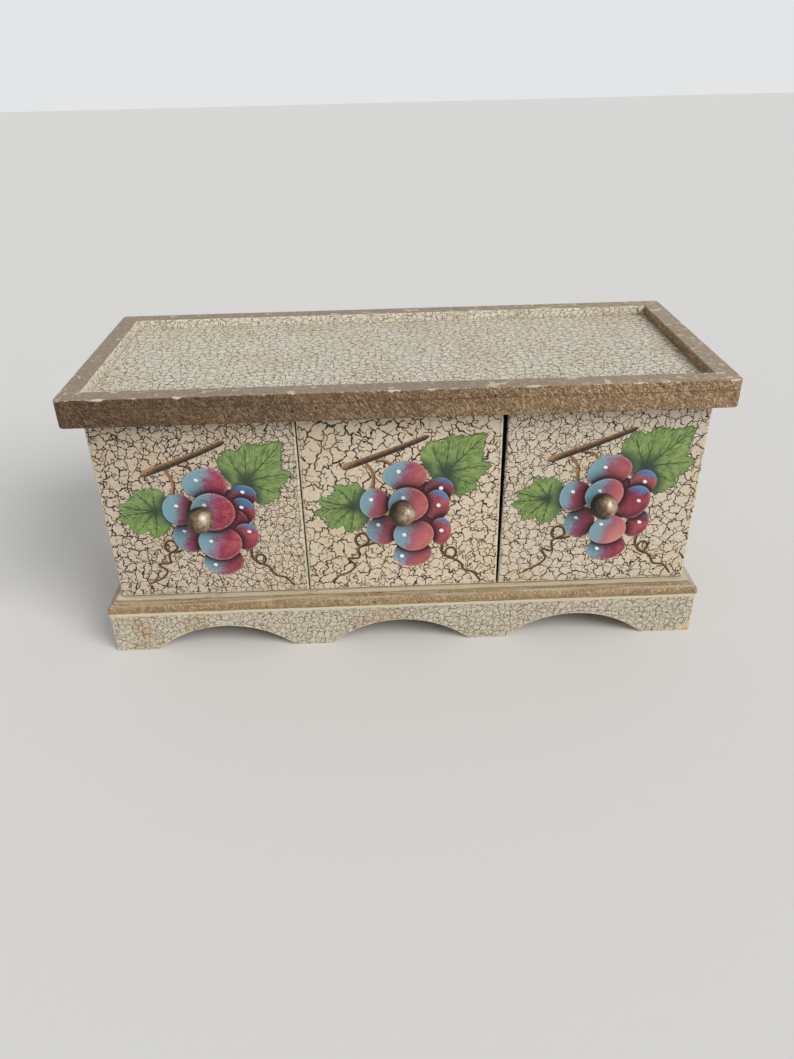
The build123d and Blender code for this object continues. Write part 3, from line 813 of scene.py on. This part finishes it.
# A brush stroke: a strip of faces laid along a smooth path on the drawer front, closed at its back
def paintStroke(number, points, widths, kind, paint=None):
    lift = strokeLooks[kind]["lift"]
    steps = 7 * (len(points) - 1)
    path = smoothPath(points, steps)
    bpy.ops.object.select_all(action="DESELECT")
    bpy.ops.mesh.primitive_grid_add(x_subdivisions=steps, y_subdivisions=4, size=2)
    stroke = bpy.context.object
    travelled = [0.0]
    for start, end in zip(path, path[1:]):
        travelled.append(travelled[-1] + (end - start).length)
    spots = []
    for vertex in stroke.data.vertices:
        step = round((vertex.co.x + 1) / 2 * steps)
        share, across = step / steps, vertex.co.y
        heading = (path[min(step + 1, steps)] - path[max(step - 1, 0)]).normalized()
        rounded = min(1.0, 0.35 + 1.6 * min(share, 1 - share) * travelled[-1] / widths[0])  # blunt, rounded ends
        half = (widths[0] + (widths[1] - widths[0]) * share) / 2 * rounded
        sideways = Vector((-heading.y, heading.x))
        spot = path[step] + sideways * across * half
        spots.append((travelled[step], across, across * sideways.dot(strokeLight)))
        vertex.co = placeOn(number, spot.x, -(lift + 0.04 * share), spot.y)
    writeAttribute(stroke.data, "stroke", spots)
    bpy.ops.object.mode_set(mode="EDIT")
    thicken(lift * mm)
    bpy.ops.mesh.select_all(action="SELECT")
    bpy.ops.mesh.normals_make_consistent(inside=False)
    bpy.ops.object.mode_set(mode="OBJECT")
    stroke.data.materials.append(strokePaints[paint or kind])
    return stroke


# The three numbers that writeAttribute left
def readParts(add, name):
    return add("SeparateXYZ", add("Attribute", attribute_name=name).outputs["Vector"]).outputs


# Stippled acrylic grapes: crimson dabbed over sky blue so that the two mix to violet by eye, a pale line round each
# rim, and dark where they overlap
def grapeMaterial():
    look = {"crimson": "#8e2a3d", "rose": "#ba5860", "dusk": "#762638", "plum": "#80486a", "coral": "#cf8276",
            "sky": "#599dae", "haze": "#8ba0a8", "deep": "#3380ae", "rim": "#cba0a6", "shade": "#2e1016"}
    material, add = newMaterial("stippled_acrylic_grapes", Specular_IOR_Level=0.4)
    at = readPlace(add)
    _, spotZ, _ = readParts(add, "spot")
    sky, deeper, warmer = readParts(add, "tone")
    flat = add("Attribute", attribute_name="spot").outputs["Vector"]
    dabs = add("TexNoise", at["whole"], 1 / (0.85 * mm), 2.0, 0.75)
    cloud = add("TexNoise", at["whole"], 1 / (5 * mm), 3.0, 0.6)
    loose = add("+", add("*+", dabs, 1.3, cloud), -1.15)
    # Sky blue on the left with violet beside it, deep blue above, and dusk below
    left = add("+", add("+", add("dot", flat, (-0.95, 0.3, 0)), sky), loose)
    blue = add("soft", left, 0.05, 0.72)
    violet = add("soft", left, -0.4, 0.25, 0.0, 0.6)
    upper = add("*+", loose, 0.6, add("+", add("dot", flat, (0.3, 0.9, 0)), deeper))
    deep = add("soft", upper, 0.5, 0.95, 0.0, 0.95)
    under = add("*+", loose, 0.4, add("dot", flat, (0.5, -0.8, 0)))
    dusk = add("*+", warmer, -0.6, add("soft", under, 0.35, 0.95, 0.0, 0.7))
    # The red underneath, with coral low down
    body = add("range", add("+", dabs, cloud), 0.85, 1.15)
    coral = add("*", add("range", spotZ, 0.5, -0.6, 0.5, 1.0), warmer)
    red = layColours(add, look, look["crimson"], rose=body, coral=coral, dusk=dusk, plum=violet)
    speck = add("range", dabs, 0.4, 0.6)
    colour = add("blend", blue, red, layColours(add, look, look["sky"], haze=speck))
    ring = add("*", add("soft", add("length", flat), 0.86, 0.96, 0.0, 0.5), speck)
    shade = add("*+", loose, 0.15, add("Attribute", attribute_name="shade").outputs["Fac"])
    shade = add("range", shade, 0.15, 0.78, 0.0, 0.97)
    colour = layColours(add, look, colour, deep=deep, rim=ring, shade=shade)
    return applyFinish(material, add, 0.08 * mm, colour, add("range", dabs, 0.3, 0.7, 0.55, 0.42), dabs)


# Brushed acrylic vine leaf: streaks run out from where the veins meet, dark there and along the margin
def leafMaterial():
    look = {"green": "#556f3f", "light": "#8ea560", "yellow": "#a2a455", "burst": "#2a3d33", "margin": "#34492c"}
    material, add = newMaterial("brushed_acrylic_leaf", Specular_IOR_Level=0.4)
    leafX, leafZ, share = readParts(add, "leaf")
    flat = add("CombineXYZ", leafX, leafZ, 0.0)
    heading = add("scale", add("VectorMath NORMALIZE", flat), 10.0)
    outward = add("CombineXYZ", 0.0, 0.0, add("*", add("length", flat), 0.09))
    streak = add("TexNoise", add("VectorMath ADD", heading, outward), 2.2, 4.0, 0.7)
    cloud = add("TexNoise", readPlace(add)["whole"], 1 / (7 * mm), 4.0, 0.65)
    body = add("soft", add("*+", cloud, 0.45, streak), 0.52, 0.92)
    sunny = add("soft", cloud, 0.5, 0.72, 0.0, 0.4)
    burst = add("soft", add("*+", streak, -1.1, share), -0.46, -0.1, 0.95, 0.0)
    colour = layColours(add, look, look["green"], light=body, yellow=sunny, burst=burst)
    # Darker beside the grapes that lie over it
    shade = add("*+", streak, 0.7, add("Attribute", attribute_name="shade").outputs["Fac"])
    shade = add("soft", shade, 0.55, 1.15, 0.0, 0.8)
    margin = add("soft", add("*+", streak, 0.1, share), 0.985, 1.05, 0.0, 0.8)
    colour = layColours(add, look, colour, burst=shade, margin=margin)
    return applyFinish(material, add, 0.06 * mm, colour, add("range", streak, 0.3, 0.7, 0.55, 0.44), streak)


# Strokes: their tones, where the brown and the light one start, how ragged and streaky, and how thick in mm
strokeLooks = {
    "twig": {"dark": "#33241a", "brown": "#644a35", "light": "#a27b57", "body": 0.0, "top": 0.7, "ragged": 0.5,
             "streaks": 2.4, "cutEnd": 13, "lift": 0.2},
    "stem": {"dark": "#372313", "brown": "#946a45", "light": "#bb9467", "body": -0.2, "top": 0.45, "ragged": 0.25,
             "streaks": 1.2, "lift": 0.12},
    "tendril": {"dark": "#33240f", "brown": "#6f5430", "light": "#ab8d5a", "body": 0.0, "top": 0.7, "ragged": 0.35,
                "streaks": 1.2, "lift": 0.1},
    "vein": {"dark": "#2b361f", "brown": "#3c4527", "light": "#59592f", "body": -0.3, "top": 0.6, "ragged": 0.3,
             "streaks": 1.0, "lift": 0.16},
}


# Acrylic brush strokes in three tones laid wet: streaks along the stroke, light on the upper side and dark below
def strokeMaterial(name, look):
    material, add = newMaterial(f"brushed_acrylic_{name}", Specular_IOR_Level=0.4)
    travelled, across, lit = readParts(add, "stroke")
    along = add("*", travelled, 0.3)
    across = add("*", across, look["streaks"])
    streak = add("TexNoise", add("CombineXYZ", along, across, 0.0), 1.3, 3.0, 0.7)
    level = add("+", lit, add("range", streak, 0.3, 0.7, -look["ragged"], look["ragged"]))
    if "cutEnd" in look:
        level = add("+", level, add("range", travelled, 0.0, look["cutEnd"], 0.9, 0.0))
    middle = add("soft", level, look["body"] - 0.25, look["body"] + 0.25)
    upper = add("soft", level, look["top"] - 0.2, look["top"] + 0.2)
    colour = layColours(add, look, look["dark"], brown=middle, light=upper)
    return applyFinish(material, add, 0.05 * mm, colour, add("range", streak, 0.3, 0.7, 0.58, 0.46), streak)


grapePaint = grapeMaterial()
leafPaint = leafMaterial()
# Thick white dots
whitePaint = speckledMaterial("white_acrylic_dots", 0.8 * mm, 2.0, ("#dfe6e8", "#f4f4f0"), (0.5, 0.4), 0.05 * mm)
strokePaints = {name: strokeMaterial(name, look) for name, look in strokeLooks.items()}

# Corners and rings of each disc, and the twig's widths in mm
discDetail = {"grape": (64, 10), "leaf": (300, 12), "dot": (16, 2)}
twigWidths = (5.2, 3.5)
discs = {kind: makeDisc(*detail) for kind, detail in discDetail.items()}
for number, strokes in twigStrokes.items():
    makeGrapes(number)
    joinPieces(makeLeaf(number, "right") + makeLeaf(number, "left"), number, "leaves")
    hookWidth, loopWidth = strokes["stems"]
    joinPieces([paintStroke(number, strokes["twig"], twigWidths, "twig"),
                paintStroke(number, strokes["hook"], (hookWidth, hookWidth * 1.2), "stem"),
                paintStroke(number, strokes["loop"], (loopWidth, loopWidth), "stem", strokes.get("loopPaint"))],
               number, "twig")
    joinPieces([paintStroke(number, openLoops(points), strokes["tendril"], "tendril")
                for points in tendrilStrokes[number]], number, "tendrils")
for disc in discs.values():
    bpy.data.objects.remove(disc)
print("painted bunches done")

# Floor, light and camera
camera = {"lens": 28.21, "pitch": 30.65, "yaw": 1.22, "roll": -1.37, "at": (-0.0149, -0.5844, 0.3939)}
lighting = {"world": 0.6, "fill": "#eef0f3", "backdrop": "#e3e5e7", "key": 2.2, "softness": 35,
            "towards": (-0.85, 0.78, -0.85)}
floorLook = {"size": 12, "colour": "#dcdad6"}


def makeFloor():
    bpy.ops.object.select_all(action="DESELECT")
    bpy.ops.mesh.primitive_plane_add(size=floorLook["size"], location=(0, 0, 0))
    floor = bpy.context.object
    floor.name = "studioFloor"
    floor.data.materials.append(newMaterial("matte_studio_floor", Base_Color=floorLook["colour"], Roughness=0.9)[0])


# One large soft key from the front right
def addKeyLight():
    light = bpy.data.lights.new("keyLight", "SUN")
    light.energy = lighting["key"]
    light.angle = math.radians(lighting["softness"])
    addObject("keyLight", light).rotation_euler = Vector(lighting["towards"]).to_track_quat("-Z", "Y").to_euler()


def setWorld():
    world = bpy.data.worlds.new("studioWorld")
    bpy.context.scene.world = world
    world.use_nodes = True
    add = partial(addNode, world.node_tree)
    fill = world.node_tree.nodes["Background"]
    give(fill.inputs["Color"], lighting["fill"])
    give(fill.inputs["Strength"], lighting["world"])
    path = add("LightPath").outputs
    seen = add("max", add("max", path["Is Camera Ray"], path["Is Glossy Ray"]), path["Is Transmission Ray"])
    backdrop = add("Background", lighting["backdrop"], 1.0)
    give(world.node_tree.nodes["World Output"].inputs["Surface"], add("MixShader", seen, fill, backdrop))


def setCamera():
    lens = bpy.data.cameras.new("camera")
    lens.sensor_width = 36
    lens.lens = camera["lens"]
    lens.clip_start = 0.01
    viewer = addObject("camera", lens)
    place = Matrix.Translation(camera["at"])
    for angle, axis in ((-camera["yaw"], "Z"), (90 - camera["pitch"], "X"), (camera["roll"], "Z")):
        place = place @ Matrix.Rotation(math.radians(angle), 4, axis)
    viewer.matrix_world = place
    bpy.context.scene.camera = viewer


makeFloor()
addKeyLight()
setWorld()
setCamera()
bpy.context.scene.view_settings.view_transform = "Standard"
print("floor, light and camera done")
